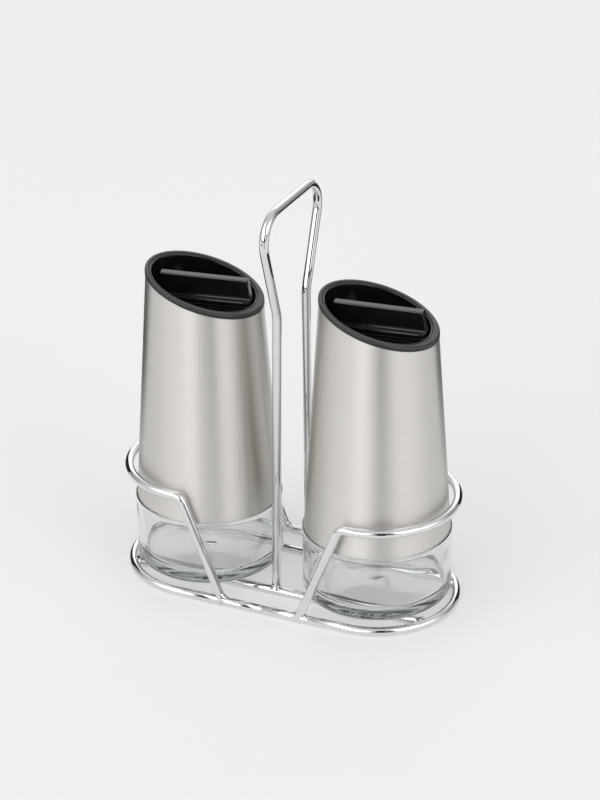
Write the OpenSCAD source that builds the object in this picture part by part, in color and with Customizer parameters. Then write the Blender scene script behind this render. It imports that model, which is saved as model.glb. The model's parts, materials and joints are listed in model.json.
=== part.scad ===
// Cruet set: two oil-and-vinegar cruets with steel sleeves in a chromed wire stand.
// X runs along the stand, Y across it and Z up; Z = 0 is the table.

/* [Stand] */
// Diameter of every stand wire
wire_d = 4.4; // [4.2:0.1:4.5]
// Distance between the two cruet axes
cruet_spacing = 89; // [88:1:92]
// Centreline radius of the base ends and of the two hoops
loop_r = 38.5; // [38.4:0.1:39.5]
// Height of the hoop centreline above the table
hoop_z = 54.8; // [50:0.2:60]
// Radius of the bend where a hoop turns down into its legs
hoop_bend_r = 5; // [4:0.5:6]
// Radius of the bend where a hoop leg turns into the base line
foot_bend_r = 6; // [5:0.5:7]
// Distance of each hoop foot from the middle of the stand
foot_x = 20; // [18:0.5:22]
// Distance of each carrying rod from the middle of the stand
rod_y = 19.7; // [18:0.1:21]

/* [Handle] */
// Height of the centreline of the handle's top bar
handle_z = 198.5; // [190:0.5:205]
// Height of the waist, where the handle starts to flare
waist_z = 146; // [140:1:150]
// Half width of the handle at the waist
waist_y = 16.6; // [16:0.1:18]
// Half width where the flare and the top bar would meet
flare_y = 35.6; // [33:0.1:37]
// Bend radius at the waist
waist_bend_r = 16; // [12:1:20]
// Bend radius at the top corners
top_bend_r = 12.3; // [10:0.1:13]
// Lean of the handle towards the back, in degrees
handle_lean = 0.9; // [0:0.1:1]

/* [Glass] */
// Outer radius of the glass foot
glass_r = 35.9; // [35.5:0.1:35.9]
// Height of the visible glass foot
shoulder_z = 34.8; // [32:0.2:37]
// Radius of the rounded heel
heel_r = 5; // [4:0.5:6]
// Radius of the rounded shoulder edge
shoulder_r = 0.7; // [0.5:0.1:0.8]
// Thickness of the glass bottom
bottom_t = 5.5; // [5:0.5:7]
// Thickness of the glass wall
glass_t = 2.8; // [2.5:0.1:3]
// Outer radius of the neck
neck_r = 20.5; // [20:0.1:21]
// Radius of the neck bore
neck_bore_r = 17.6; // [17.5:0.1:17.8]
// Height of the neck's top face
neck_z = 127; // [126.5:0.1:127]

/* [Sleeve] */
// Outer radius of the sleeve at its lower edge
sleeve_foot_r = 35.15; // [34.8:0.05:35.2]
// Wall thickness of the sleeve
sleeve_t = 0.6; // [0.5:0.1:0.7]
// Taper of the sleeve wall from the vertical, in degrees
taper = 3.83; // [3.7:0.01:3.9]
// Height of the rim plane on the cruet's axis
rim_z = 145.9; // [144:0.1:147]
// Slope of the rim plane, in degrees
rim_tilt = 17.5; // [16:0.5:19]
// Turn of the left cruet about its own axis, in degrees
left_turn = 10; // [0:0.5:12]
// Turn of the right cruet about its own axis, in degrees
right_turn = 7.5; // [0:0.5:12]

/* [Top] */
// Depth of the rim ring under the rim plane
rim_drop = 2.2; // [2:0.1:3.5]
// How far the rim ring stands proud of the sleeve
rim_proud = 0.3; // [0:0.05:0.4]
// Outer radius of the cup wall
cup_r = 25.6; // [25.4:0.1:25.6]
// Inner radius of the cup wall
cup_bore_r = 24.4; // [24.2:0.1:24.5]
// Height of the cup floor's upper face
floor_z = 130.5; // [130.3:0.1:130.6]
// Thickness of the cup floor
floor_t = 2.5; // [2.3:0.1:2.5]
// Outer radius of the stopper skirt under the floor
plug_r = 16.6; // [16.5:0.1:16.7]
// Length of the stopper skirt
plug_len = 18; // [16:1:20]
// Thickness of the port seal
seal_t = 0.8; // [0.6:0.1:0.9]
// Distance of the ports from the axis
port_x = 10.6; // [10.5:0.1:10.7]
// Radius of the pouring port
port_r = 3.6; // [3:0.1:3.6]
// Radius of the air port
vent_r = 2; // [1.5:0.1:2.5]

/* [Twist grip] */
// Radius of the shutter disc
disc_r = 23.4; // [23:0.1:23.6]
// Thickness of the shutter disc
disc_t = 1.95; // [1.5:0.05:2]
// Width of the grip bar
bar_w = 10.4; // [9:0.2:11]
// Height of the grip bar
bar_h = 6; // [5:0.5:7]
// Thickness of the upright fin
fin_t = 4.3; // [3.6:0.1:5]
// Height of the fin above the bar at the rim's high side
fin_high_side_h = 10.4; // [9:0.1:11]
// Height of the fin above the bar at the rim's low side
fin_low_side_h = 9.8; // [9:0.1:11]
// Radius of the stem that turns in the floor
stem_r = 4; // [3.8:0.1:4.2]

/* [Hidden] */

// Gap left where two welded wires, or two pressed pieces, meet
weld_gap = 0.01;
// Gap under a piece that rests on another and can be lifted off
rest_gap = 0.05;
// Radial gap of a turning or sliding fit
run_gap = 0.05;
// Gap between the sleeve and the pieces it covers
cover_gap = 0.6;
// Reach of a cut past the face it cuts
past = 1;
// Size of the half spaces that make the slanted cuts
reach = 400;
// Length of each straight wire end inside the bend beside it
slip = 0.2;
// Fineness of the wires' round section, and of their bends
wire_fn = 32;
bend_fn = 72;

wire_r = wire_d / 2;
half_spacing = cruet_spacing / 2;
cruet_z = wire_d + rest_gap;
body_top_z = neck_z - 19;
neck_foot_z = neck_z - 11;
plug_t = 1.8;
neck_seal_t = 0.85;
disc_z = floor_z + seal_t + rest_gap;
bar_z = disc_z + disc_t;
fin_z = bar_z + bar_h;
bar_groove_d = 0.4;
floor_under_z = floor_z - floor_t;
clip_t = 1;
clip_z = floor_under_z - 1.45;
clip_r = 5.3;
groove_r = stem_r - 0.9;
stem_end_z = clip_z - 1.6;
spacer_h = 3.8;
punt_depth = 1.8;
punt_r = 27;

$fn = 96;

// Sleeve radius at a height above the cruet's foot
function sleeve_r(z) = sleeve_foot_r - (z - shoulder_z) * tan(taper);
function heading(p, q) = atan2(q.y - p.y, q.x - p.x);
function signed_turn(a, b) = ((b - a + 540) % 360) - 180;
function along(p, angle, length) = p + length * [cos(angle), sin(angle)];

// Length that a bend of radius r takes from each side of its corner
function bend_reach(r, turn) = r * tan(abs(turn) / 2);

// One straight run of wire in the XY plane, its ends slipped into the bends beside it
module straight_wire(p, q, radius) {
    angle = heading(p, q);
    start = along(p, angle, -slip);
    translate([start.x, start.y, 0])
        rotate([0, 90, angle])
            cylinder(r = radius - weld_gap, h = norm(q - p) + 2 * slip, $fn = wire_fn);
}

// One bend of wire in the XY plane, round the corner at p
module wire_bend(p, angle_in, turn, bend_r, radius) {
    side = turn > 0 ? 1 : -1;
    start = along(p, angle_in, -bend_reach(bend_r, turn));
    centre = along(start, angle_in + 90 * side, bend_r);
    first_angle = angle_in - 90 * side + (turn < 0 ? turn : 0);
    translate([centre.x, centre.y, 0])
        rotate([0, 0, first_angle])
            rotate_extrude(angle = abs(turn), $fn = bend_fn)
                translate([bend_r, 0])
                    circle(r = radius, $fn = wire_fn);
}

// A wire in the XY plane through corners, with bends[i] the radius at corner i
module bent_wire(corners, bends, radius = wire_r) {
    last = len(corners) - 1;
    turns = [for (i = [0 : last])
        i == 0 || i == last ? 0
            : signed_turn(heading(corners[i - 1], corners[i]), heading(corners[i], corners[i + 1]))];
    cuts = [for (i = [0 : last]) bend_reach(bends[i], turns[i])];
    for (i = [0 : last - 1]) {
        angle = heading(corners[i], corners[i + 1]);
        straight_wire(along(corners[i], angle, cuts[i]), along(corners[i + 1], angle, -cuts[i + 1]), radius);
    }
    for (i = [1 : last - 1])
        wire_bend(corners[i], heading(corners[i - 1], corners[i]), turns[i], bends[i], radius);
}

// Half ring of wire at the right-hand end of the stand
module half_ring(radius) {
    rotate([0, 0, -90])
        rotate_extrude(angle = 180, $fn = bend_fn)
            translate([loop_r, 0])
                circle(r = radius, $fn = wire_fn);
}

// Where the hoop's level line and its leg would meet
hoop_corner_x = half_spacing - bend_reach(hoop_bend_r, 68);

// The right-hand hoop with its two legs, each running on to the middle of the base
module hoop(radius = wire_r) {
    translate([half_spacing, 0, hoop_z])
        half_ring(radius);
    corners = [[half_spacing, hoop_z], [hoop_corner_x, hoop_z], [foot_x, wire_r], [slip + weld_gap, wire_r]];
    for (side = [-1, 1])
        translate([0, side * loop_r, 0])
            rotate([90, 0, 0])
                bent_wire(corners, [0, hoop_bend_r - 0.4, foot_bend_r, 0], radius);
}

// The right-hand U of the base, its ends cut to sit against the hoop's feet
module base_wire(radius = wire_r) {
    end_x = foot_x + 0.6;
    translate([half_spacing, 0, wire_r])
        half_ring(radius);
    for (side = [-1, 1])
        translate([end_x, side * loop_r, wire_r])
            rotate([0, 90, 0])
                cylinder(r = radius, h = half_spacing - end_x, $fn = wire_fn);
}

module hoop_wire() {
    color("silver")
        hoop();
}

module base_end() {
    color("silver")
        difference() {
            base_wire();
            hoop(wire_r + weld_gap);
        }
}

// A carrying rod, let in between the base's two ends
module carrying_rod(side) {
    half_length = half_spacing + sqrt(loop_r * loop_r - rod_y * rod_y) - 0.6;
    color("silver")
        difference() {
            translate([-half_length, side * rod_y, wire_r])
                rotate([0, 90, 0])
                    cylinder(r = wire_r, h = 2 * half_length, $fn = wire_fn);
            for (end = [0, 1])
                mirror([end, 0, 0])
                    base_wire(wire_r + weld_gap);
        }
}

// The bent handle, its legs saddled onto the two carrying rods
module handle() {
    leg_z = wire_d - 0.9;
    half = [[rod_y, leg_z], [waist_y, waist_z], [flare_y, handle_z]];
    corners = [half[0], half[1], half[2], [-half[2].x, half[2].y], [-half[1].x, half[1].y], [-half[0].x, half[0].y]];
    bends = [0, waist_bend_r, top_bend_r, top_bend_r, waist_bend_r, 0];
    color("silver")
        difference() {
            rotate([-handle_lean, 0, 0])
                rotate([90, 0, 90])
                    bent_wire(corners, bends);
            for (side = [-1, 1])
                translate([-10, side * rod_y, wire_r])
                    rotate([0, 90, 0])
                        cylinder(r = wire_r + weld_gap, h = 20, $fn = wire_fn);
        }
}

// Moves a piece from the cruet's own axis to its place: side -1 left, 1 right
module at_cruet(side) {
    translate([side * half_spacing, 0, cruet_z])
        rotate([0, 0, side < 0 ? left_turn : right_turn])
            children();
}

// Everything under the slanted plane that lies a given depth below the rim plane
module under_rim(depth) {
    translate([0, 0, rim_z - depth])
        rotate([0, rim_tilt, 0])
            translate([-reach / 2, -reach / 2, -reach])
                cube(reach);
}

module tube(z, h, r_out, r_in) {
    translate([0, 0, z])
        difference() {
            cylinder(r = r_out, h = h);
            translate([0, 0, -past])
                cylinder(r = r_in, h = h + 2 * past);
        }
}

// A solid round foot with a rounded lower edge
module rounded_foot(r, edge_r, h) {
    cylinder(r = r - edge_r, h = h);
    translate([0, 0, edge_r]) {
        cylinder(r = r, h = h - edge_r);
        rotate_extrude()
            translate([r - edge_r, 0])
                circle(r = edge_r, $fn = 48);
    }
}

module glass_outside() {
    body_gap = sleeve_t + cover_gap;
    rounded_foot(glass_r, heel_r, shoulder_z - shoulder_r);
    cylinder(r = glass_r - shoulder_r, h = shoulder_z);
    translate([0, 0, shoulder_z - shoulder_r])
        rotate_extrude()
            translate([glass_r - shoulder_r, 0])
                circle(r = shoulder_r, $fn = 48);
    translate([0, 0, shoulder_z])
        cylinder(
            r1 = sleeve_r(shoulder_z) - body_gap,
            r2 = sleeve_r(body_top_z) - body_gap,
            h = body_top_z - shoulder_z
        );
    translate([0, 0, body_top_z])
        cylinder(r1 = sleeve_r(body_top_z) - body_gap, r2 = neck_r, h = neck_foot_z - body_top_z);
    cylinder(r = neck_r, h = neck_z);
}

module glass_inside() {
    foot_inner_r = glass_r - glass_t;
    body_gap = sleeve_t + cover_gap + glass_t;
    inner_turn_z = shoulder_z - glass_t;
    translate([0, 0, bottom_t])
        rounded_foot(foot_inner_r, heel_r - 1, inner_turn_z - bottom_t);
    translate([0, 0, inner_turn_z])
        cylinder(r1 = foot_inner_r, r2 = sleeve_r(shoulder_z) - body_gap, h = glass_t);
    translate([0, 0, shoulder_z])
        cylinder(
            r1 = sleeve_r(shoulder_z) - body_gap,
            r2 = sleeve_r(body_top_z) - body_gap,
            h = body_top_z - glass_t - shoulder_z
        );
    translate([0, 0, body_top_z - glass_t])
        cylinder(r1 = sleeve_r(body_top_z) - body_gap, r2 = neck_bore_r, h = neck_foot_z - body_top_z);
    translate([0, 0, body_top_z])
        cylinder(r = neck_bore_r, h = neck_z - body_top_z + past);
}

// Shallow hollow under the foot
module punt() {
    ball_r = (punt_r * punt_r + punt_depth * punt_depth) / (2 * punt_depth);
    translate([0, 0, punt_depth - ball_r])
        sphere(r = ball_r);
}

module glass_bottle() {
    color("lightcyan")
        difference() {
            glass_outside();
            glass_inside();
            punt();
        }
}

// A cone of wall that follows the sleeve, offset inwards
module sleeve_cone(inset) {
    top_z = rim_z + 15;
    translate([0, 0, shoulder_z])
        cylinder(r1 = sleeve_foot_r - inset, r2 = sleeve_r(top_z) - inset, h = top_z - shoulder_z);
}

module sleeve() {
    color("gainsboro")
        translate([0, 0, rest_gap])
            difference() {
                intersection() {
                    sleeve_cone(0);
                    under_rim(rim_drop + 2 * rest_gap);
                }
                translate([0, 0, shoulder_z - past])
                    cylinder(
                        r1 = sleeve_r(shoulder_z - past) - sleeve_t,
                        r2 = sleeve_r(rim_z + 20) - sleeve_t,
                        h = rim_z + 20 - shoulder_z + past
                    );
            }
}

// Ring on the glass shoulder that keeps the sleeve's upper end central
module spacer_ring() {
    foot_z = neck_foot_z + rest_gap;
    ring_gap = sleeve_t + 2 * run_gap;
    color("dimgray")
        difference() {
            translate([0, 0, foot_z])
                cylinder(r1 = sleeve_r(foot_z) - ring_gap, r2 = sleeve_r(foot_z + spacer_h) - ring_gap, h = spacer_h);
            translate([0, 0, foot_z - past])
                cylinder(r = neck_r + run_gap, h = spacer_h + 2 * past);
        }
}

// Satin ring that finishes the sleeve's slanted mouth
module rim() {
    color([0.24, 0.23, 0.22])
        difference() {
            intersection() {
                sleeve_cone(-rim_proud);
                under_rim(0);
            }
            under_rim(rim_drop);
            cylinder(r = cup_r + weld_gap, h = reach);
        }
}

// The two ports through the floor and the seal: pouring port and air port
module ports(z, h) {
    translate([port_x, 0, z])
        cylinder(r = port_r, h = h);
    translate([-port_x, 0, z])
        cylinder(r = vent_r, h = h);
}

// Glossy cup with the valve floor and the stopper skirt under it
module cup() {
    color([0.03, 0.03, 0.03])
        difference() {
            union() {
                intersection() {
                    translate([0, 0, floor_under_z])
                        cylinder(r = cup_r, h = 60);
                    under_rim(0.35);
                }
                translate([0, 0, floor_under_z - plug_len])
                    cylinder(r = plug_r, h = plug_len + past);
            }
            translate([0, 0, floor_z])
                cylinder(r = cup_bore_r, h = 60);
            translate([0, 0, floor_under_z - plug_len - past])
                cylinder(r = plug_r - plug_t, h = plug_len + past);
            ports(floor_under_z - past, floor_t + 2 * past);
            translate([0, 0, floor_under_z - past])
                cylinder(r = stem_r + run_gap, h = floor_t + 2 * past);
        }
}

// Silicone disc between the cup floor and the turning shutter
module port_seal() {
    color([0.12, 0.12, 0.12])
        translate([0, 0, weld_gap])
            difference() {
                translate([0, 0, floor_z])
                    cylinder(r = disc_r + 0.4, h = seal_t);
                ports(floor_z - past, seal_t + 2 * past);
                translate([0, 0, floor_z - past])
                    cylinder(r = stem_r + 0.3, h = seal_t + 2 * past);
            }
}

// Flat washer between the cup floor and the mouth of the glass
module neck_seal() {
    color([0.7, 0.7, 0.68])
        tube(floor_under_z - neck_seal_t - weld_gap, neck_seal_t, neck_r - 0.3, plug_r + 0.6);
}

// Silicone sleeve on the stopper skirt with two sealing lips
module stopper_seal() {
    lip_h = 1.6;
    foot_z = floor_under_z - plug_len + 2;
    seal_h = plug_len - 5;
    body_r = plug_r + 0.5;
    lip_r = neck_bore_r - run_gap;
    color([0.75, 0.75, 0.72])
        difference() {
            union() {
                translate([0, 0, foot_z])
                    cylinder(r = body_r, h = seal_h);
                for (step = [0.15, 0.65])
                    translate([0, 0, foot_z + step * seal_h]) {
                        cylinder(r1 = body_r, r2 = lip_r, h = lip_h / 2);
                        translate([0, 0, lip_h / 2])
                            cylinder(r1 = lip_r, r2 = body_r, h = lip_h / 2);
                    }
            }
            translate([0, 0, foot_z - past])
                cylinder(r = plug_r + weld_gap, h = seal_h + 2 * past);
        }
}

// Fin seen from the side: both ends lean in, and the top edge climbs to the right
module fin_outline() {
    polygon([
        [-disc_r + 0.5, 0],
        [disc_r - 0.3, 0],
        [disc_r - 1.8, fin_low_side_h],
        [-disc_r + 2.8, fin_high_side_h]
    ]);
}

// Shutter disc, grip bar, fin and stem, moulded in one piece
module twist_grip() {
    groove_count = 3;
    color([0.05, 0.05, 0.05])
        difference() {
            union() {
                translate([0, 0, disc_z])
                    cylinder(r = disc_r, h = disc_t);
                intersection() {
                    translate([-disc_r, -bar_w / 2, disc_z])
                        cube([2 * disc_r, bar_w, disc_t + bar_h]);
                    translate([0, 0, disc_z])
                        cylinder(r = disc_r - 0.2, h = disc_t + bar_h + past);
                }
                translate([0, fin_t / 2, fin_z])
                    rotate([90, 0, 0])
                        linear_extrude(height = fin_t)
                            fin_outline();
                translate([0, 0, stem_end_z])
                    cylinder(r = stem_r, h = disc_z - stem_end_z + disc_t / 2);
            }
            for (side = [-1, 1])
                rotate([0, 0, side * 90])
                    translate([port_x, 0, disc_z - past])
                        cylinder(r = side < 0 ? port_r : vent_r, h = disc_t + past + 0.5);
            for (side = [-1, 1], i = [0 : groove_count - 1])
                translate([-disc_r, side * bar_w / 2 - bar_groove_d, bar_z + 1.4 + i * 1.5])
                    cube([2 * disc_r, 2 * bar_groove_d, 0.5]);
            tube(clip_z - weld_gap, clip_t + 2 * weld_gap, stem_r + past, groove_r);
        }
}

// Snap clip in the stem's groove, under the cup floor
module grip_clip() {
    mouth_w = 2 * groove_r - 1;
    color("silver")
        difference() {
            tube(clip_z, clip_t, clip_r, groove_r + weld_gap);
            translate([0, -mouth_w / 2, clip_z - past])
                cube([clip_r + past, mouth_w, clip_t + 2 * past]);
        }
}

mirror([1, 0, 0]) hoop_wire();  // left_hoop
hoop_wire();  // right_hoop
mirror([1, 0, 0]) base_end();  // left_base_wire
base_end();  // right_base_wire
carrying_rod(-1);  // front_rod
carrying_rod(1);  // rear_rod
handle();
at_cruet(-1) glass_bottle();  // left_glass_bottle
at_cruet(-1) sleeve();  // left_sleeve
at_cruet(-1) spacer_ring();  // left_spacer_ring
at_cruet(-1) rim();  // left_rim
at_cruet(-1) cup();  // left_cup
at_cruet(-1) port_seal();  // left_port_seal
at_cruet(-1) neck_seal();  // left_neck_seal
at_cruet(-1) stopper_seal();  // left_stopper_seal
at_cruet(-1) twist_grip();  // left_twist_grip
at_cruet(-1) grip_clip();  // left_grip_clip
at_cruet(1) glass_bottle();  // right_glass_bottle
at_cruet(1) sleeve();  // right_sleeve
at_cruet(1) spacer_ring();  // right_spacer_ring
at_cruet(1) rim();  // right_rim
at_cruet(1) cup();  // right_cup
at_cruet(1) port_seal();  // right_port_seal
at_cruet(1) neck_seal();  // right_neck_seal
at_cruet(1) stopper_seal();  // right_stopper_seal
at_cruet(1) twist_grip();  // right_twist_grip
at_cruet(1) grip_clip();  // right_grip_clip
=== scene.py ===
"""Cruet set: the looks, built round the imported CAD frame. Every length is in metres."""

import json
import math

import bmesh
import bpy
from mathutils import Matrix, Vector, noise


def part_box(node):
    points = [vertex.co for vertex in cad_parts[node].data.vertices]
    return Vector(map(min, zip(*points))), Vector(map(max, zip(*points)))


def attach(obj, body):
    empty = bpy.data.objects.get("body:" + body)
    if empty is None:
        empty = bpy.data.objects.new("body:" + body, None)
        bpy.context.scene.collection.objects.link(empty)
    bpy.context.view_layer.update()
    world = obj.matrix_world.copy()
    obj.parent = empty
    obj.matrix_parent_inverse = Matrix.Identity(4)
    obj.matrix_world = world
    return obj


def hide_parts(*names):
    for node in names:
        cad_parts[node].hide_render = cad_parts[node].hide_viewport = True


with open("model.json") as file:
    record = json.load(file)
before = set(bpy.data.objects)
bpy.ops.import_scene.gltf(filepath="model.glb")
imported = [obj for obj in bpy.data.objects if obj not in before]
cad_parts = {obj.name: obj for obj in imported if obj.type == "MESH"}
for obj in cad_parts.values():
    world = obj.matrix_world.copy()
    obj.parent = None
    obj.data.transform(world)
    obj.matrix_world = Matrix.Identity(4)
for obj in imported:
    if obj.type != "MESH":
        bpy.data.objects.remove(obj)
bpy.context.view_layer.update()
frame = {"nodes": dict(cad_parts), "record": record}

MM = 0.001
SIDES = {"left": -1, "right": 1}

# ---------------------------------------------------------------- sizes read from the frame

base_low, base_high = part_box("right_base_wire")
rod_low, rod_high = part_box("rear_rod")
hoop_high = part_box("right_hoop")[1]
glass_low, glass_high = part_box("right_glass_bottle")
sleeve_low, sleeve_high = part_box("right_sleeve")
cup_low, cup_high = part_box("right_cup")
grip_low, grip_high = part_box("right_twist_grip")

WIRE_R = (rod_high.z - rod_low.z) / 2
LOOP_R = base_high.y - WIRE_R
CRUET_X = base_high.x - base_high.y
HOOP_Z = hoop_high.z - WIRE_R
BASE_END_X = base_low.x
ROD_Y = (rod_low.y + rod_high.y) / 2
ROD_END_X = rod_high.x

FOOT_Z = glass_low.z
GLASS_R = (glass_high.x - glass_low.x) / 2
NECK_Z = glass_high.z - FOOT_Z
SHOULDER_Z = sleeve_low.z - FOOT_Z
SLEEVE_R = (sleeve_high.x - sleeve_low.x) / 2
CUP_R = (cup_high.x - cup_low.x) / 2
SKIRT_FOOT_Z = cup_low.z - FOOT_Z
DISC_R = (grip_high.x - grip_low.x) / 2

# ---------------------------------------------------------------- sizes of the design

HOOP_BEND_R = 5 * MM
FOOT_BEND_R = 6 * MM
HOOP_FOOT_X = BASE_END_X - 0.6 * MM
WAIST_Y, WAIST_Z = 16.6 * MM, 146 * MM
FLARE_Y, HANDLE_Z = 35.6 * MM, 198.5 * MM
HANDLE_LEAN = math.radians(0.9)
WAIST_BEND_R, TOP_BEND_R = 16 * MM, 12.3 * MM

SLEEVE_T = 0.6 * MM
TAPER = math.tan(math.radians(3.83))
TURN = {"left": math.radians(10), "right": math.radians(7.5)}
RIM_Z = 145.9 * MM
RIM_SLOPE = math.tan(math.radians(17.5))
RIM_DROP, RIM_PROUD = 2.2 * MM, 0.3 * MM
LIP_DROP = 0.35 * MM
CUP_BORE_R = 24.4 * MM
FLOOR_Z, FLOOR_T = 130.5 * MM, 2.5 * MM
SKIRT_R, SKIRT_T = 16.6 * MM, 1.8 * MM
PORT_X, PORT_R, VENT_R = 10.6 * MM, 3.6 * MM, 2 * MM
STEM_R = 4 * MM
DISC_Z, DISC_T = 131.35 * MM, 1.95 * MM
BAR_W, BAR_H = 10.4 * MM, 6 * MM
FIN_T, FIN_HIGH_SIDE_H, FIN_LOW_SIDE_H = 4.3 * MM, 10.4 * MM, 9.8 * MM

GLASS_T, GLASS_BOTTOM_T = 2.8 * MM, 5.5 * MM
HEEL_R, SHOULDER_R = 5 * MM, 0.7 * MM
NECK_R, NECK_BORE_R = 20.5 * MM, 17.6 * MM
BODY_TOP_Z, NECK_FOOT_Z = 108 * MM, 116 * MM
COVER_GAP = 0.6 * MM
PUNT_R, PUNT_DEPTH = 27 * MM, 1.8 * MM

# ---------------------------------------------------------------- mesh tools


def new_piece(name, mesh_data, slot, body, replaced=()):
    """A piece of the object from bmesh data, in its slot's material, on a body. It may replace CAD nodes."""
    mesh = bpy.data.meshes.new(name)
    bmesh.ops.recalc_face_normals(mesh_data, faces=mesh_data.faces)
    mesh_data.to_mesh(mesh)
    mesh_data.free()
    piece = bpy.data.objects.new(name, mesh)
    bpy.context.scene.collection.objects.link(piece)
    mesh.shade_smooth()
    mesh.materials.append(MATERIALS[slot])
    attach(piece, body)
    if replaced:
        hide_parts(*replaced)
    return piece


def bridge(bm, rings):
    """Quads between neighbouring closed rings of vertices."""
    for lower, upper in zip(rings, rings[1:]):
        count = len(lower)
        for i in range(count):
            j = (i + 1) % count
            bm.faces.new((lower[i], lower[j], upper[j], upper[i]))


def lathe(profile, segments=160):
    """Mesh data of a closed profile of (radius, height) turned about Z. Radius 0 makes a pole."""
    bm = bmesh.new()
    rings = []
    for radius, height in profile:
        if radius < 1e-7:
            rings.append([bm.verts.new((0, 0, height))])
            continue
        turns = [2 * math.pi * i / segments for i in range(segments)]
        rings.append([bm.verts.new((radius * math.cos(t), radius * math.sin(t), height)) for t in turns])
    for lower, upper in zip(rings, rings[1:] + rings[:1]):
        if len(lower) == len(upper) == 1:
            continue
        for i in range(segments):
            j = (i + 1) % segments
            corners = [lower[i % len(lower)], lower[j % len(lower)], upper[j % len(upper)], upper[i % len(upper)]]
            unique = list(dict.fromkeys(corners))
            if len(unique) > 2:
                bm.faces.new(unique)
    return bm


def loft_round(rows, segments=160):
    """Mesh data from closed rows of points: rows is a list of functions of angle giving (radius, height)."""
    bm = bmesh.new()
    turns = [2 * math.pi * i / segments for i in range(segments)]
    rings = []
    for row in rows:
        ring = []
        for turn in turns:
            radius, height = row(turn)
            ring.append(bm.verts.new((radius * math.cos(turn), radius * math.sin(turn), height)))
        rings.append(ring)
    bridge(bm, rings + rings[:1])
    return bm


def arc(centre, radius, start, end, steps):
    """Points of an arc in a plane, angles in degrees."""
    angles = [math.radians(start + (end - start) * i / steps) for i in range(steps + 1)]
    return [(centre[0] + radius * math.cos(a), centre[1] + radius * math.sin(a)) for a in angles]


def bent_path(corners, bends, steps=14):
    """A polyline of 3-D corners with each inner corner rounded to the radius that bends gives it."""
    points = [corners[0]]
    for before, corner, after, radius in zip(corners, corners[1:], corners[2:], bends):
        inward = (corner - before).normalized()
        onward = (after - corner).normalized()
        turn = inward.angle(onward)
        reach = radius * math.tan(turn / 2)
        start = corner - inward * reach
        towards_centre = (onward - inward * inward.dot(onward)).normalized()
        centre = start + towards_centre * radius
        for i in range(steps + 1):
            angle = turn * i / steps
            points.append(centre - towards_centre * radius * math.cos(angle) + inward * radius * math.sin(angle))
    points.append(corners[-1])
    return points


def sweep(points, radius, sides=40):
    """Mesh data of a round wire along points, with flat ends."""
    bm = bmesh.new()
    count = len(points)
    tangents = []
    for i in range(count):
        before = points[max(i - 1, 0)]
        after = points[min(i + 1, count - 1)]
        tangents.append((after - before).normalized())
    across = tangents[0].orthogonal().normalized()
    rings = []
    for i, (point, tangent) in enumerate(zip(points, tangents)):
        if i:
            across = (tangents[i - 1].rotation_difference(tangent) @ across).normalized()
        across = (across - tangent * across.dot(tangent)).normalized()
        up = tangent.cross(across)
        ring = []
        for k in range(sides):
            turn = 2 * math.pi * k / sides
            ring.append(bm.verts.new(point + (across * math.cos(turn) + up * math.sin(turn)) * radius))
        rings.append(ring)
    bridge(bm, rings)
    for ring, point in ((rings[0], points[0]), (rings[-1], points[-1])):
        inner = [bm.verts.new(point + (v.co - point) * 0.8) for v in ring]
        bridge(bm, [ring, inner])
        bm.faces.new(inner)
    return bm


def moved(bm, offset):
    bmesh.ops.translate(bm, verts=bm.verts, vec=offset)
    return bm


def crease_by_angle(piece, degrees):
    """Keeps edges sharper than the angle crisp in the smooth shading."""
    bm = bmesh.new()
    bm.from_mesh(piece.data)
    limit = math.radians(degrees)
    for edge in bm.edges:
        edge.smooth = len(edge.link_faces) == 2 and edge.calc_face_angle(0) < limit
    bm.to_mesh(piece.data)
    bm.free()


# ---------------------------------------------------------------- materials


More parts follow.
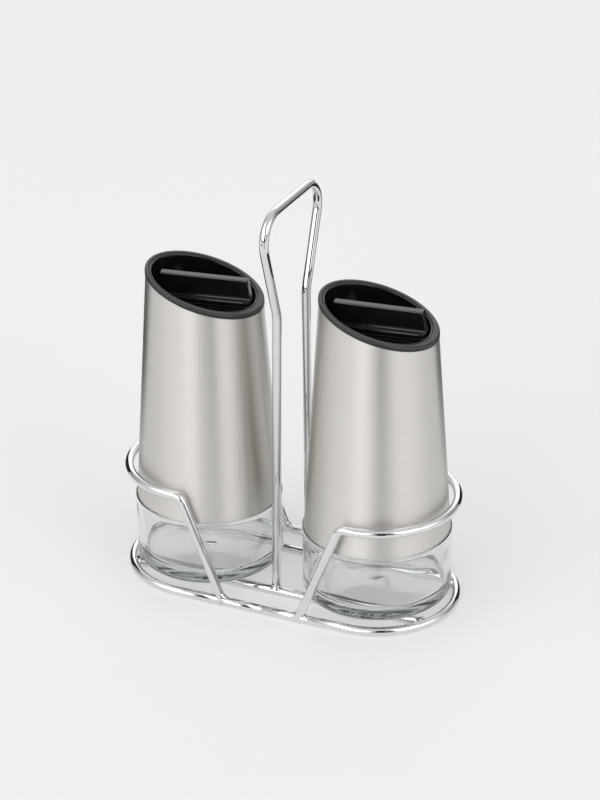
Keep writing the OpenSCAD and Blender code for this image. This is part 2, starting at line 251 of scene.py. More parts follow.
class Finish:
    """A Principled material with helpers for the procedural textures that vary it."""

    def __init__(self, name, **values):
        self.material = bpy.data.materials.new(name)
        self.material.use_nodes = True
        self.tree = self.material.node_tree
        self.shader = self.tree.nodes["Principled BSDF"]
        for socket, value in values.items():
            self.shader.inputs[socket.replace("_", " ")].default_value = value
        self.coordinates = self.tree.nodes.new("ShaderNodeTexCoord").outputs["Object"]

    def link(self, source, target):
        self.tree.links.new(source, target)

    def noise(self, scale, stretch=(1, 1, 1), detail=3.0, roughness=0.5):
        """Noise over the object's own coordinates, scale in cycles per metre."""
        mapping = self.tree.nodes.new("ShaderNodeMapping")
        mapping.inputs["Scale"].default_value = stretch
        self.link(self.coordinates, mapping.inputs["Vector"])
        texture = self.tree.nodes.new("ShaderNodeTexNoise")
        texture.inputs["Scale"].default_value = scale
        texture.inputs["Detail"].default_value = detail
        texture.inputs["Roughness"].default_value = roughness
        self.link(mapping.outputs["Vector"], texture.inputs["Vector"])
        return texture.outputs["Fac"]

    def ramp(self, source, dark, light, start=0.3, end=0.7):
        """Colours between dark and light as the source goes from start to end."""
        ramp = self.tree.nodes.new("ShaderNodeValToRGB")
        ramp.color_ramp.elements[0].position = start
        ramp.color_ramp.elements[1].position = end
        ramp.color_ramp.elements[0].color = (*dark, 1)
        ramp.color_ramp.elements[1].color = (*light, 1)
        self.link(source, ramp.inputs["Fac"])
        return ramp.outputs["Color"]

    def span(self, source, low, high):
        """A number between low and high as the source goes from 0.3 to 0.7."""
        node = self.tree.nodes.new("ShaderNodeMapRange")
        node.inputs["From Min"].default_value = 0.3
        node.inputs["From Max"].default_value = 0.7
        node.inputs["To Min"].default_value = low
        node.inputs["To Max"].default_value = high
        self.link(source, node.inputs["Value"])
        return node.outputs["Result"]

    def colour(self, source, dark, light, start=0.3, end=0.7):
        self.link(self.ramp(source, dark, light, start, end), self.shader.inputs["Base Color"])

    def roughness(self, source, low, high):
        self.link(self.span(source, low, high), self.shader.inputs["Roughness"])

    def bump(self, source, depth, strength=1.0):
        node = self.tree.nodes.new("ShaderNodeBump")
        node.inputs["Distance"].default_value = depth
        node.inputs["Strength"].default_value = strength
        self.link(source, node.inputs["Height"])
        self.link(node.outputs["Normal"], self.shader.inputs["Normal"])


def chrome():
    finish = Finish("chrome_wire", Metallic=1.0)
    finish.colour(finish.noise(60), (0.73, 0.73, 0.735), (0.79, 0.79, 0.795))
    finish.roughness(finish.noise(300), 0.02, 0.05)
    finish.bump(finish.noise(500, detail=2), 0.01 * MM, 0.3)
    return finish.material


def brushed_steel():
    finish = Finish("brushed_sleeve", Metallic=1.0, Anisotropic=0.75)
    rings = finish.noise(1.0, stretch=(14, 14, 5200), detail=6, roughness=0.75)
    finish.colour(rings, (0.65, 0.63, 0.60), (0.71, 0.69, 0.66))
    finish.roughness(finish.noise(1.0, stretch=(9, 9, 3900), detail=5), 0.38, 0.44)
    finish.bump(rings, 0.012 * MM, 0.25)
    tangent = finish.tree.nodes.new("ShaderNodeTangent")
    tangent.direction_type = "RADIAL"
    tangent.axis = "Z"
    finish.shader.inputs["Anisotropic Rotation"].default_value = 0.25
    finish.link(tangent.outputs["Tangent"], finish.shader.inputs["Tangent"])
    return finish.material


def clear_glass():
    """Clear glass. Soft light passes straight through it, so what stands behind or under it stays lit."""
    finish = Finish("clear_glass", IOR=1.5, Transmission_Weight=1.0)
    finish.colour(finish.noise(40), (0.970, 0.978, 0.972), (0.980, 0.986, 0.982))
    finish.roughness(finish.noise(90), 0.0, 0.012)
    finish.bump(finish.noise(55, detail=1), 0.15 * MM, 0.35)
    tree = finish.tree
    absorption = tree.nodes.new("ShaderNodeVolumeAbsorption")
    absorption.inputs["Color"].default_value = (0.712, 0.732, 0.718, 1)
    absorption.inputs["Density"].default_value = 52.0
    finish.link(absorption.outputs["Volume"], tree.nodes["Material Output"].inputs["Volume"])
    clear = tree.nodes.new("ShaderNodeBsdfTransparent")
    clear.inputs["Color"].default_value = (0.90, 0.91, 0.905, 1)
    ray = tree.nodes.new("ShaderNodeLightPath")
    soft_ray = tree.nodes.new("ShaderNodeMath")
    soft_ray.operation = "MAXIMUM"
    finish.link(ray.outputs["Is Shadow Ray"], soft_ray.inputs[0])
    finish.link(ray.outputs["Is Diffuse Ray"], soft_ray.inputs[1])
    mix = tree.nodes.new("ShaderNodeMixShader")
    finish.link(soft_ray.outputs[0], mix.inputs["Fac"])
    finish.link(finish.shader.outputs["BSDF"], mix.inputs[1])
    finish.link(clear.outputs["BSDF"], mix.inputs[2])
    finish.link(mix.outputs["Shader"], tree.nodes["Material Output"].inputs["Surface"])
    return finish.material


def satin_plastic():
    finish = Finish("rim_plastic", Specular_IOR_Level=0.5)
    finish.colour(finish.noise(900), (0.020, 0.0195, 0.0185), (0.028, 0.027, 0.026))
    finish.roughness(finish.noise(700), 0.30, 0.40)
    finish.bump(finish.noise(6000, detail=2), 0.01 * MM, 0.5)
    return finish.material


def gloss_plastic(name, dark, light, low, high):
    finish = Finish(name, Specular_IOR_Level=0.5)
    finish.colour(finish.noise(120), dark, light)
    finish.roughness(finish.noise(200), low, high)
    finish.bump(finish.noise(90, detail=2), 0.03 * MM, 0.3)
    return finish.material


def silicone(name, dark, light):
    finish = Finish(name, Specular_IOR_Level=0.4)
    finish.colour(finish.noise(300), dark, light)
    finish.roughness(finish.noise(500), 0.5, 0.65)
    finish.bump(finish.noise(3000), 0.01 * MM, 0.5)
    return finish.material


def spring_steel():
    finish = Finish("spring_steel", Metallic=1.0)
    finish.colour(finish.noise(400), (0.5, 0.5, 0.52), (0.62, 0.62, 0.64))
    finish.roughness(finish.noise(800), 0.25, 0.4)
    return finish.material


def board_black():
    finish = Finish("board_black", Specular_IOR_Level=0.1)
    finish.colour(finish.noise(20), (0.015, 0.015, 0.015), (0.025, 0.025, 0.025))
    finish.roughness(finish.noise(40), 0.8, 0.9)
    return finish.material


def studio_white():
    finish = Finish("studio_floor", Specular_IOR_Level=0.1, Emission_Strength=0.42)
    finish.shader.inputs["Emission Color"].default_value = (1, 1, 1, 1)
    finish.colour(finish.noise(3), (0.430, 0.430, 0.432), (0.436, 0.436, 0.438))
    finish.roughness(finish.noise(8), 0.75, 0.85)
    return finish.material


MATERIALS = {
    "chrome_wire": chrome(),
    "brushed_sleeve": brushed_steel(),
    "clear_glass": clear_glass(),
    "rim_plastic": satin_plastic(),
    "cup_plastic": gloss_plastic("cup_plastic", (0.003, 0.003, 0.003), (0.005, 0.005, 0.005), 0.08, 0.14),
    "grip_plastic": gloss_plastic("grip_plastic", (0.004, 0.004, 0.004), (0.007, 0.007, 0.007), 0.14, 0.22),
    "spacer_plastic": silicone("spacer_plastic", (0.05, 0.05, 0.05), (0.07, 0.07, 0.07)),
    "dark_silicone": silicone("dark_silicone", (0.02, 0.02, 0.02), (0.03, 0.03, 0.03)),
    "pale_silicone": silicone("pale_silicone", (0.52, 0.52, 0.49), (0.60, 0.60, 0.57)),
    "spring_steel": spring_steel(),
    "board": board_black(),
}


def dress_cad_nodes():
    """Every CAD node gets its slot's material, shown or not."""
    for part in frame["record"]["subparts"]:
        node = frame["nodes"][part["node"]]
        node.data.materials.clear()
        node.data.materials.append(MATERIALS[part["material_slot"]])


# ---------------------------------------------------------------- the wire stand


def wire_piece(name, points, replaced):
    new_piece(name, sweep(points, WIRE_R), "chrome_wire", "stand", replaced)


def half_ring(side, z, steps=72):
    """Centreline of a half ring round one cruet, from the front to the back."""
    turns = [math.radians(-90 + 180 * i / steps) for i in range(steps + 1)]
    return [Vector((side * (CRUET_X + LOOP_R * math.cos(t)), LOOP_R * math.sin(t), z)) for t in turns]


def hoop_points(side):
    """Middle of the base front, up the front leg, round the cruet, and down the rear leg."""
    bend_x = CRUET_X - HOOP_BEND_R * math.tan(math.radians(34))
    front = bent_path(
        [
            Vector((side * 0.005 * MM, -LOOP_R, WIRE_R)),
            Vector((side * HOOP_FOOT_X, -LOOP_R, WIRE_R)),
            Vector((side * bend_x, -LOOP_R, HOOP_Z)),
            Vector((side * CRUET_X, -LOOP_R, HOOP_Z)),
        ],
        [FOOT_BEND_R, HOOP_BEND_R - 0.4 * MM],
    )
    rear = [Vector((p.x, -p.y, p.z)) for p in reversed(front)]
    return front[:-1] + half_ring(side, HOOP_Z) + rear[1:]


def base_end_points(side):
    start = Vector((side * BASE_END_X, -LOOP_R, WIRE_R))
    ring = half_ring(side, WIRE_R)
    return [start] + ring + [Vector((start.x, LOOP_R, WIRE_R))]


def handle_points():
    half = [
        Vector((0, ROD_Y, 2 * WIRE_R - 0.9 * MM)),
        Vector((0, WAIST_Y, WAIST_Z)),
        Vector((0, FLARE_Y, HANDLE_Z)),
    ]
    corners = half + [Vector((0, -p.y, p.z)) for p in reversed(half)]
    points = bent_path(corners, [WAIST_BEND_R, TOP_BEND_R, TOP_BEND_R, WAIST_BEND_R], steps=28)
    lean = Matrix.Rotation(-HANDLE_LEAN, 3, "X")
    return [lean @ point for point in points]


def weld_bead(name, place, axis, spread, length, both_ways=False):
    """A small collar of weld metal round a wire: it swells by spread and dies away over length."""
    steps = 8
    heights = [length * i / steps for i in range(steps + 1)]
    profile = [(WIRE_R + spread * (1 - h / length) ** 2 + 0.01 * MM, h) for h in heights]
    if both_ways:
        profile = [(r, -h) for r, h in reversed(profile[1:])] + profile
    inner = [(WIRE_R * 0.9, profile[-1][1]), (WIRE_R * 0.9, profile[0][1])]
    bm = lathe(profile + inner, segments=40)
    turn = Vector((0, 0, 1)).rotation_difference(axis).to_matrix()
    bmesh.ops.rotate(bm, verts=bm.verts, cent=(0, 0, 0), matrix=turn)
    moved(bm, place)
    for vertex in bm.verts:
        vertex.co.z = max(vertex.co.z, 0.0)
        ripple = noise.noise(vertex.co / (0.9 * MM)) * 0.06 * MM
        vertex.co += (vertex.co - place).normalized() * ripple if vertex.co.z > 0.3 * MM else Vector()
        vertex.co.y = min(max(vertex.co.y, base_low.y), base_high.y)
    new_piece(name, bm, "chrome_wire", "stand")


def build_stand():
    for name, side in SIDES.items():
        wire_piece(f"{name}_hoop_wire", hoop_points(side), [f"{name}_hoop"])
        wire_piece(f"{name}_base_end", base_end_points(side), [f"{name}_base_wire"])
    for name, side in (("front", -1), ("rear", 1)):
        ends = [Vector((end * (ROD_END_X - 0.3 * MM), side * ROD_Y, WIRE_R)) for end in (-1, 1)]
        wire_piece(f"{name}_carrying_rod", ends, [f"{name}_rod"])
    wire_piece("bent_handle", handle_points(), ["handle"])

    ring_x = CRUET_X + math.sqrt((LOOP_R - WIRE_R) ** 2 - ROD_Y**2)
    for y_name, y in (("front", -1), ("rear", 1)):
        handle_foot = Vector((0, y * ROD_Y, 2 * WIRE_R - 0.6 * MM))
        weld_bead(f"{y_name}_handle_weld", handle_foot, Vector((0, 0, 1)), 0.9 * MM, 2.4 * MM)
        middle = Vector((0, y * LOOP_R, WIRE_R))
        weld_bead(f"{y_name}_middle_weld", middle, Vector((1, 0, 0)), 0.16 * MM, 1.1 * MM, both_ways=True)
        for x_name, x in SIDES.items():
            rod_end = Vector((x * (ring_x + 0.4 * MM), y * ROD_Y, WIRE_R))
            weld_bead(f"{x_name}_{y_name}_rod_weld", rod_end, Vector((-x, 0, 0)), 1.0 * MM, 2.6 * MM)
            foot = Vector((x * (HOOP_FOOT_X + 1.4 * MM), y * LOOP_R, WIRE_R))
            weld_bead(f"{x_name}_{y_name}_foot_weld", foot, Vector((x, 0, 0)), 0.35 * MM, 2.6 * MM)


# ---------------------------------------------------------------- the cruets


def cone_r(z):
    """The sleeve's outer radius at a height above the cruet's foot."""
    return SLEEVE_R - (z - SHOULDER_Z) * TAPER


def slanted(inset, drop):
    """A row on the sleeve's cone, inset from it, where a plane lies drop below the rim plane."""

    def row(turn):
        lean = RIM_SLOPE * math.cos(turn)
        foot_r = SLEEVE_R + SHOULDER_Z * TAPER - inset
        z = (RIM_Z - drop - lean * foot_r) / (1 - lean * TAPER)
        return foot_r - z * TAPER, z

    return row


def slanted_at(radius, drop):
    """A row at a fixed radius where a plane lies drop below the rim plane."""
    return lambda turn: (radius, RIM_Z - drop - RIM_SLOPE * radius * math.cos(turn))


def level(radius, z):
    return lambda turn: (radius, z)


def mixed(low, high, share):
    """A row part of the way from one row to another."""

    def row(turn):
        (r0, z0), (r1, z1) = low(turn), high(turn)
        return r0 + (r1 - r0) * share, z0 + (z1 - z0) * share

    return row


def sleeve_mesh():
    edge = 0.12 * MM
    foot_z = SHOULDER_Z + 0.02 * MM
    drop = RIM_DROP + 0.08 * MM
    outer_foot, outer_top = level(cone_r(foot_z + edge), foot_z + edge), slanted(0, drop + edge)
    inner_foot, inner_top = level(cone_r(foot_z + edge) - SLEEVE_T, foot_z + edge), slanted(SLEEVE_T, drop + edge)
    rows = [mixed(outer_foot, outer_top, i / 24) for i in range(25)]
    rows += [slanted(edge, drop), slanted(SLEEVE_T - edge, drop)]
    rows += [mixed(inner_top, inner_foot, i / 24) for i in range(25)]
    rows += [level(cone_r(foot_z) - SLEEVE_T + edge, foot_z), level(cone_r(foot_z) - edge, foot_z)]
    return loft_round(rows, 224)


def rim_mesh():
    """Ring with a rounded outer shoulder, a fine groove round its side and a soft inner edge."""
    round_r = 0.8 * MM
    side = [(0.15 * MM, RIM_DROP), (0.0, RIM_DROP - 0.15 * MM), (0.0, RIM_DROP - 0.55 * MM)]
    side += [(0.24 * MM, RIM_DROP - 0.65 * MM), (0.24 * MM, RIM_DROP - 0.95 * MM), (0.0, RIM_DROP - 1.05 * MM)]
    shoulder = [
        (round_r * (1 - math.cos(math.radians(a))), round_r * (1 - math.sin(math.radians(a))))
        for a in range(0, 91, 15)
    ]
    rows = [slanted(inset - RIM_PROUD, drop) for inset, drop in side + shoulder]
    inner = CUP_R + 0.02 * MM
    rows += [slanted_at(inner + 0.55 * MM, 0.0), slanted_at(inner + 0.25 * MM, 0.22 * MM)]
    rows += [slanted_at(inner, 0.36 * MM), slanted_at(inner, RIM_DROP)]
    return loft_round(rows, 224)


def cup_mesh():
    """Cup wall with a rounded lip, floor, and stopper skirt."""
    under = FLOOR_Z - FLOOR_T
    lip = (CUP_R - CUP_BORE_R) / 2
    lip_arc = [(lip * math.cos(math.radians(a)), lip * math.sin(math.radians(a))) for a in range(0, 181, 20)]
    rows = [level(SKIRT_R - SKIRT_T + 0.3 * MM, SKIRT_FOOT_Z), level(SKIRT_R - 0.3 * MM, SKIRT_FOOT_Z)]
    rows += [level(SKIRT_R, SKIRT_FOOT_Z + 0.3 * MM), level(SKIRT_R, under), level(CUP_R - 0.4 * MM, under)]
    rows += [level(CUP_R, under + 0.4 * MM)]
    wall_foot = level(CUP_R, under + 0.5 * MM)
    wall_top = slanted_at(CUP_R, LIP_DROP + lip)
    rows += [mixed(wall_foot, wall_top, i / 8) for i in range(8)]
    rows += [slanted_at(CUP_BORE_R + lip + across, LIP_DROP + lip - up) for across, up in lip_arc]
    bore_top = slanted_at(CUP_BORE_R, LIP_DROP + lip)
    fillet = 1.6 * MM
    bore_foot = level(CUP_BORE_R, FLOOR_Z + fillet)
    rows += [mixed(bore_top, bore_foot, i / 8) for i in range(1, 8)]
    corner = (CUP_BORE_R - fillet, FLOOR_Z + fillet)
    rows += [level(r, z) for r, z in arc(corner, fillet, 0, -90, 6)]
    stem = STEM_R + 0.05 * MM
    rows += [level(DISC_R - 0.2 * MM, FLOOR_Z), level(stem, FLOOR_Z), level(stem, under)]
    rows += [level(SKIRT_R - SKIRT_T, under), level(SKIRT_R - SKIRT_T, SKIRT_FOOT_Z + 0.3 * MM)]
    return loft_round(rows, 160)


def placed(bm, name):
    """Turns mesh data about its cruet's axis and moves it to its place in the stand."""
    bmesh.ops.rotate(bm, verts=bm.verts, cent=(0, 0, 0), matrix=Matrix.Rotation(TURN[name], 3, "Z"))
    return moved(bm, Vector((SIDES[name] * CRUET_X, 0, FOOT_Z)))


def cut_holes(piece, holes, name):
    """Cuts upright round holes, each (x, y, radius, low z, high z), through a piece on one cruet."""
    for x, y, radius, low, high in holes:
        bm = bmesh.new()
        bmesh.ops.create_cone(bm, cap_ends=True, segments=48, radius1=radius, radius2=radius, depth=high - low)
        placed(moved(bm, Vector((x, y, (low + high) / 2))), name)
        mesh = bpy.data.meshes.new("hole")
        bm.to_mesh(mesh)
        bm.free()
        cutter = bpy.data.objects.new("hole", mesh)
        bpy.context.scene.collection.objects.link(cutter)
        cut = piece.modifiers.new("hole", "BOOLEAN")
        cut.operation = "DIFFERENCE"
        cut.solver = "EXACT"
        cut.object = cutter
        apply_modifiers(piece)
        bpy.data.objects.remove(cutter)


def apply_modifiers(piece):
    """Writes the result of a piece's modifiers into its mesh, with the slivers of a cut cleaned away."""
    sliver = 0.002 * MM
    depsgraph = bpy.context.evaluated_depsgraph_get()
    mesh = bpy.data.meshes.new_from_object(piece.evaluated_get(depsgraph))
    piece.modifiers.clear()
    bm = bmesh.new()
    bm.from_mesh(mesh)
    bmesh.ops.remove_doubles(bm, verts=bm.verts, dist=sliver)
    bmesh.ops.dissolve_degenerate(bm, edges=bm.edges, dist=sliver)
    bmesh.ops.triangulate(bm, faces=[face for face in bm.faces if len(face.verts) > 4])
    bmesh.ops.recalc_face_normals(bm, faces=bm.faces)
    bm.to_mesh(mesh)
    bm.free()
    piece.data = mesh


def glass_profile():
    """The bottle's section from the middle of the punt, up the outside and down the inside."""
    ball_r = (PUNT_R**2 + PUNT_DEPTH**2) / (2 * PUNT_DEPTH)
    foot_flat_r = GLASS_R - HEEL_R
    outside = [(0.0, PUNT_DEPTH)]
    for i in range(1, 13):
        r = PUNT_R * i / 12
        outside.append((r, PUNT_DEPTH - ball_r + math.sqrt(ball_r**2 - r**2)))
    outside += arc((foot_flat_r, HEEL_R), HEEL_R, -90, 0, 12)
    outside += [(GLASS_R, HEEL_R + (SHOULDER_Z - SHOULDER_R - HEEL_R) * i / 6) for i in range(1, 6)]
    outside += arc((GLASS_R - SHOULDER_R, SHOULDER_Z - SHOULDER_R), SHOULDER_R, 0, 90, 6)
    body = SLEEVE_T + COVER_GAP
    outside += [(cone_r(SHOULDER_Z) - body, SHOULDER_Z), (cone_r(BODY_TOP_Z) - body, BODY_TOP_Z)]
    outside += [(NECK_R, NECK_FOOT_Z), (NECK_R, NECK_Z - 0.8 * MM)]
    lip_r = (NECK_R - NECK_BORE_R) / 2
    outside += arc((NECK_R - 0.8 * MM, NECK_Z - 0.8 * MM), 0.8 * MM, 15, 90, 4)
    inner_r = GLASS_R - GLASS_T
    inner_heel = HEEL_R - 1 * MM
    body += GLASS_T
    inside = arc((NECK_BORE_R + 0.8 * MM, NECK_Z - 0.8 * MM), 0.8 * MM, 90, 180, 4)
    inside += [(NECK_BORE_R, NECK_FOOT_Z - GLASS_T + 0.5 * lip_r)]
    inside += [(cone_r(BODY_TOP_Z) - body, BODY_TOP_Z - GLASS_T), (cone_r(SHOULDER_Z) - body, SHOULDER_Z + 1.5 * MM)]
    inside += [(inner_r - 0.9 * MM, SHOULDER_Z - 0.6 * MM), (inner_r - 0.2 * MM, SHOULDER_Z - 2.2 * MM)]
    inside += [(inner_r, SHOULDER_Z - 4 * MM)]
    inside += [(inner_r, SHOULDER_Z - 4 * MM - (SHOULDER_Z - 14 * MM) * i / 6) for i in range(1, 6)]
    inside += arc((inner_r - inner_heel, GLASS_BOTTOM_T + inner_heel), inner_heel, 0, -90, 10)
    floor_r = inner_r - inner_heel
    for i in range(1, 24):
        r = floor_r * (1 - i / 24)
        crown = 0.9 * MM * (1 - (r / floor_r) ** 2)
        button = 0.7 * MM * math.exp(-((r / (3.6 * MM)) ** 4))
        inside.append((r, GLASS_BOTTOM_T + crown + button))
    inside.append((0.0, GLASS_BOTTOM_T + 1.6 * MM))
    return outside + inside


def glass_mesh(seed):
    """The bottle, its inner face gently uneven as pressed glass is."""
    bm = lathe(glass_profile(), 200)
    for vertex in bm.verts:
        co = vertex.co
        radius = math.hypot(co.x, co.y)
        inside_foot = GLASS_BOTTOM_T - 0.5 * MM < co.z < SHOULDER_Z - 1 * MM and radius < GLASS_R - 1.5 * MM
        if not inside_foot:
            continue
        swell = noise.noise(co / (13 * MM) + Vector((seed, 0, 0)))
        if radius > GLASS_R - GLASS_T - 1 * MM:
            scale = 1 + swell * 0.28 * MM / radius
            vertex.co = Vector((co.x * scale, co.y * scale, co.z))
        else:
            vertex.co.z += swell * 0.3 * MM
    return bm


def grip_section(x, half_bar, half_fin, bar_top, fin_top, edge):
    """Outline across the grip at x: a bar with a fin on it, corners softened by edge."""
    soft = edge * 0.3
    half = [
        (0, 0),
        (half_bar - edge, 0),
        (half_bar, edge),
        (half_bar, bar_top * 0.30),
        (half_bar - 0.35 * MM, bar_top * 0.34),
        (half_bar - 0.35 * MM, bar_top * 0.42),
        (half_bar, bar_top * 0.46),
        (half_bar, bar_top * 0.56),
        (half_bar - 0.35 * MM, bar_top * 0.60),
        (half_bar - 0.35 * MM, bar_top * 0.68),
        (half_bar, bar_top * 0.72),
        (half_bar, bar_top - edge),
        (half_bar - soft, bar_top - soft),
        (half_bar - edge, bar_top),
        (half_fin + edge, bar_top),
        (half_fin + soft, bar_top + soft),
        (half_fin, bar_top + edge),
        (half_fin, fin_top - edge),
        (half_fin - soft, fin_top - soft),
        (half_fin - edge, fin_top),
        (0, fin_top),
    ]
    mirrored = [(-y, z) for y, z in reversed(half[1:-1])]
    return [Vector((x, y, z)) for y, z in half + mirrored]


def grip_bar_mesh():
    """Bar and fin in one loft along X: round bar ends, and fin ends that lean in."""
    bm = bmesh.new()
    low_x, high_x = -DISC_R + 0.45 * MM, DISC_R - 0.3 * MM
    edge = 0.45 * MM
    end_steps = 10
    stations = [1 - math.cos(math.radians(90 * i / end_steps)) for i in range(end_steps + 1)]
    reach = 3.4 * MM
    xs = [low_x + reach * s for s in stations] + [high_x - reach * s for s in reversed(stations)]
    rings = []
    for x in xs:
        from_end = min(x - low_x, high_x - x) / reach
        roundness = math.sqrt(max(0.0, 1 - (1 - min(1.0, from_end)) ** 2))
        half_bar = (FIN_T / 2 + 0.5 * MM) + (BAR_W / 2 - FIN_T / 2 - 0.5 * MM) * roundness
        share = (x - low_x) / (high_x - low_x)
        fin_top = BAR_H + FIN_HIGH_SIDE_H + (FIN_LOW_SIDE_H - FIN_HIGH_SIDE_H) * share
        section = grip_section(x, half_bar, FIN_T / 2, BAR_H, fin_top, edge)
        lean = 2.3 * MM if x < 0 else -1.5 * MM
        strength = 1 - min(1.0, from_end)
        for point in section:
            height = max(0.0, point.z - BAR_H) / (fin_top - BAR_H)
            point.x += lean * height * strength
        rings.append([bm.verts.new(p) for p in section])
    bridge(bm, rings)
    for ring, outward in ((rings[0], -1), (rings[-1], 1)):
        middle = sum((v.co for v in ring), Vector()) / len(ring)
        inner = []
        for v in ring:
            z = middle.z + (v.co.z - middle.z) * 0.95
            inner.append(bm.verts.new((v.co.x + outward * 0.25 * MM, v.co.y * 0.86, z)))
        bridge(bm, [ring, inner])
        bm.faces.new(inner)
    return bm


def grip_disc_mesh():
    """Shutter disc with a softened edge, and the stem under it."""
    clip_z = FLOOR_Z - FLOOR_T - 1.45 * MM - DISC_Z
    groove_r = STEM_R - 0.9 * MM
    stem_end = clip_z - 1.6 * MM
    soft = 0.4 * MM
    profile = [(0.0, stem_end), (STEM_R - soft, stem_end), (STEM_R, stem_end + soft), (STEM_R, clip_z - 0.01 * MM)]
    profile += [(groove_r, clip_z - 0.01 * MM), (groove_r, clip_z + 1.01 * MM), (STEM_R, clip_z + 1.01 * MM)]
    profile += [(STEM_R, 0.0), (DISC_R - soft, 0.0), (DISC_R, soft)]
    profile += [(DISC_R, DISC_T - soft), (DISC_R - soft * 0.3, DISC_T - soft * 0.3), (DISC_R - soft, DISC_T)]
    profile += [(0.0, DISC_T)]
    return lathe(profile, 160)


def build_cruet(name, side):
    """The visible pieces of one cruet. Its seals, spacer and clip stay as the CAD nodes."""

    def piece(ending, mesh_data, slot, body, node, crease, holes=()):
        replaced = [f"{name}_{node}"] if node else []
        built = new_piece(f"{name}_{ending}", placed(mesh_data, name), slot, f"{name}_{body}", replaced)
        cut_holes(built, holes, name)
        crease_by_angle(built, crease)

    piece("bottle", glass_mesh(side * 7.0), "clear_glass", "cruet", "glass_bottle", 30)
    piece("steel_sleeve", sleeve_mesh(), "brushed_sleeve", "cruet", "sleeve", 30)
    piece("rim_ring", rim_mesh(), "rim_plastic", "top", "rim", 20)
    low, high = FLOOR_Z - FLOOR_T - MM, FLOOR_Z + MM
    floor_ports = [(PORT_X, 0, PORT_R, low, high), (-PORT_X, 0, VENT_R, low, high)]
    piece("pouring_cup", cup_mesh(), "cup_plastic", "top", "cup", 25, floor_ports)
    bar = moved(grip_bar_mesh(), Vector((0, 0, DISC_Z + DISC_T)))
    piece("grip_bar", bar, "grip_plastic", "grip", "twist_grip", 20)
    low, high = DISC_Z - MM, DISC_Z + DISC_T + MM
    disc_ports = [(0, -PORT_X, PORT_R, low, high), (0, PORT_X, VENT_R, low, high)]
    disc = moved(grip_disc_mesh(), Vector((0, 0, DISC_Z)))
    piece("grip_disc", disc, "grip_plastic", "grip", None, 25, disc_ports)


# ---------------------------------------------------------------- studio

CAMERA_AZIMUTH, CAMERA_ELEVATION, CAMERA_ROLL = 24.2, 26.672, -0.626
CAMERA_DISTANCE = 1.281
CAMERA_TARGET = Vector((0.00473, 0, 0.09737))

# The surround that metal reflects. Heights are the upward part of a direction, from 0 at the horizon to 1 overhead.
WALL_TOP, CEILING_FOOT = 0.50, 0.75
CEILING = 0.72
SKIRTING, SKIRTING_TOP, SKIRTING_FADE = 0.15, 0.08, 0.04
WORLD_STRENGTH = 4.0


def build_floor():
    bm = bmesh.new()
    bmesh.ops.create_grid(bm, x_segments=8, y_segments=8, size=6.0)
    mesh = bpy.data.meshes.new("studio_floor")
    bm.to_mesh(mesh)
    bm.free()
    floor = bpy.data.objects.new("studio_floor", mesh)
    bpy.context.scene.collection.objects.link(floor)
    mesh.materials.append(studio_white())


def ramp_node(tree, stops):
    """A grey colour ramp from (position, value) stops."""
    ramp = tree.nodes.new("ShaderNodeValToRGB")
    elements = ramp.color_ramp.elements
    while len(elements) < len(stops):
        elements.new(0.5)
    for element, (position, value) in zip(elements, stops):
        element.position = position
        element.color = (value, value, value, 1)
    return ramp


# Brightness of the walls round the stand: degrees from the CAMERA_AZIMUTH side, positive to the right, and value.
WALLS = [
    (-180, 1.50), (-160, 1.20), (-140, 0.50), (-118, 0.40), (-104, 0.60), (-80, 1.10), (-60, 1.90), (-44, 2.90),
    (-30, 3.60), (-20, 3.30), (-11, 1.30), (-3, 0.10), (18, 0.10), (27, 1.70), (38, 3.10), (50, 2.00), (62, 1.90),
    (76, 1.50), (90, 0.80), (108, 0.35), (134, 0.45), (156, 1.20), (180, 1.50),
]


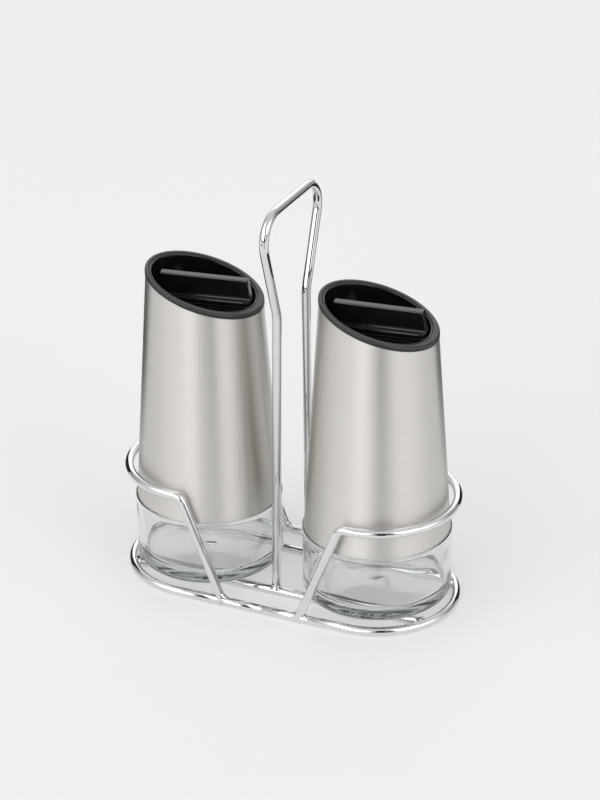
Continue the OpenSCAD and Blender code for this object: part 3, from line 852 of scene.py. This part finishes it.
def build_world():
    """A white studio: bright overhead, walls of uneven brightness, so that bent metal shows dark and light bands."""
    world = bpy.data.worlds.new("studio")
    bpy.context.scene.world = world
    world.use_nodes = True
    tree = world.node_tree
    background = tree.nodes["Background"]
    direction = tree.nodes.new("ShaderNodeTexCoord").outputs["Generated"]
    split = tree.nodes.new("ShaderNodeSeparateXYZ")
    tree.links.new(direction, split.inputs["Vector"])

    angle = tree.nodes.new("ShaderNodeMath")
    angle.operation = "ARCTAN2"
    tree.links.new(split.outputs["Y"], angle.inputs[0])
    tree.links.new(split.outputs["X"], angle.inputs[1])
    turns = tree.nodes.new("ShaderNodeMath")
    turns.operation = "MULTIPLY_ADD"
    turns.inputs[1].default_value = 1 / (2 * math.pi)
    turns.inputs[2].default_value = (90 - CAMERA_AZIMUTH + 180) / 360
    tree.links.new(angle.outputs[0], turns.inputs[0])
    wrapped = tree.nodes.new("ShaderNodeMath")
    wrapped.operation = "FRACT"
    tree.links.new(turns.outputs[0], wrapped.inputs[0])
    walls = ramp_node(tree, [((degrees + 180) / 360, value / WORLD_STRENGTH) for degrees, value in WALLS])
    tree.links.new(wrapped.outputs[0], walls.inputs["Fac"])

    ceiling = ramp_node(tree, [(0.0, 0.0), (WALL_TOP, 0.0), (CEILING_FOOT, 1.0), (1.0, 1.0)])
    tree.links.new(split.outputs["Z"], ceiling.inputs["Fac"])
    mix = tree.nodes.new("ShaderNodeMixRGB")
    mix.inputs["Color2"].default_value = (*[CEILING / WORLD_STRENGTH] * 3, 1)
    tree.links.new(ceiling.outputs["Color"], mix.inputs["Fac"])
    tree.links.new(walls.outputs["Color"], mix.inputs["Color1"])
    skirting_end = SKIRTING_TOP + SKIRTING_FADE
    skirting = ramp_node(tree, [(0.0, SKIRTING), (SKIRTING_TOP, SKIRTING), (skirting_end, 1.0), (1.0, 1.0)])
    tree.links.new(split.outputs["Z"], skirting.inputs["Fac"])
    darken = tree.nodes.new("ShaderNodeMixRGB")
    darken.blend_type = "MULTIPLY"
    darken.inputs["Fac"].default_value = 1.0
    tree.links.new(mix.outputs["Color"], darken.inputs["Color1"])
    tree.links.new(skirting.outputs["Color"], darken.inputs["Color2"])
    tree.links.new(darken.outputs["Color"], background.inputs["Color"])
    background.inputs["Strength"].default_value = WORLD_STRENGTH


def reflection_board(name, degrees, distance, width, height, foot=0.0):
    """A dark board that stands in a studio to put dark lines into bright metal. Only reflections show it."""
    angle = math.radians(CAMERA_AZIMUTH - 90 + degrees)
    outward = Vector((math.cos(angle), math.sin(angle), 0))
    across = Vector((-outward.y, outward.x, 0))
    bm = bmesh.new()
    outline = ((-1, foot), (1, foot), (1, foot + height), (-1, foot + height))
    corners = [outward * distance + across * width * w / 2 + Vector((0, 0, h)) for w, h in outline]
    bm.faces.new([bm.verts.new(corner) for corner in corners])
    mesh = bpy.data.meshes.new(name)
    bm.to_mesh(mesh)
    bm.free()
    board = bpy.data.objects.new(name, mesh)
    bpy.context.scene.collection.objects.link(board)
    mesh.materials.append(MATERIALS["board"])
    board.visible_camera = False
    board.visible_diffuse = False
    board.visible_shadow = False
    board.visible_transmission = False


def soft_box(name, place, target, size, power):
    """A rectangular area light that faces a point."""
    light = bpy.data.lights.new(name, "AREA")
    light.shape = "RECTANGLE"
    light.size, light.size_y = size
    light.energy = power
    lamp = bpy.data.objects.new(name, light)
    bpy.context.scene.collection.objects.link(lamp)
    lamp.location = place
    lamp.rotation_euler = (Vector(target) - Vector(place)).to_track_quat("-Z", "Y").to_euler()


def build_lights():
    middle = (0, 0, 0.08)
    soft_box("key", (-0.9, -0.8, 1.3), middle, (1.0, 1.0), 3.5)
    soft_box("fill", (1.1, -0.5, 1.0), middle, (0.8, 0.8), 2)


def build_camera():
    """Long lens, in front and to the right of the stand, looking down on it."""
    azimuth, elevation, roll = (math.radians(v) for v in (CAMERA_AZIMUTH, CAMERA_ELEVATION, CAMERA_ROLL))
    level_reach = math.cos(elevation)
    back = Vector((math.sin(azimuth) * level_reach, -math.cos(azimuth) * level_reach, math.sin(elevation)))
    right = Vector((math.cos(azimuth), math.sin(azimuth), 0))
    up = back.cross(right)
    turned_right = right * math.cos(roll) + up * math.sin(roll)
    turned_up = up * math.cos(roll) - right * math.sin(roll)
    data = bpy.data.cameras.new("camera")
    data.lens = 121.6
    data.sensor_width = 36
    data.clip_start = 0.05
    data.clip_end = 30
    camera = bpy.data.objects.new("camera", data)
    bpy.context.scene.collection.objects.link(camera)
    axes = Matrix((turned_right, turned_up, back)).transposed()
    camera.matrix_world = Matrix.Translation(CAMERA_TARGET + back * CAMERA_DISTANCE) @ axes.to_4x4()
    bpy.context.scene.camera = camera


def build_boards():
    """Boards where the wires and sleeves show their dark bands: degrees, distance, width and height."""
    reflection_board("board_left_rear", -134, 0.26, 0.13, 0.17)
    reflection_board("board_right_rear", 128, 0.26, 0.13, 0.17)
    reflection_board("board_front", 9, 0.42, 0.075, 0.40)
    reflection_board("board_low_left", -48, 0.80, 0.50, 0.07)
    reflection_board("board_high_left", -45, 1.00, 0.20, 0.14, foot=0.32)
    reflection_board("board_high_right", 42, 1.00, 0.30, 0.16, foot=0.30)


build_camera()
build_floor()
build_boards()
build_world()
build_lights()
dress_cad_nodes()
build_stand()
for cruet_name, cruet_side in SIDES.items():
    build_cruet(cruet_name, cruet_side)

scene = bpy.context.scene
scene.view_settings.view_transform = "Standard"
scene.cycles.max_bounces = 24
scene.cycles.glossy_bounces = 16
scene.cycles.transmission_bounces = 16
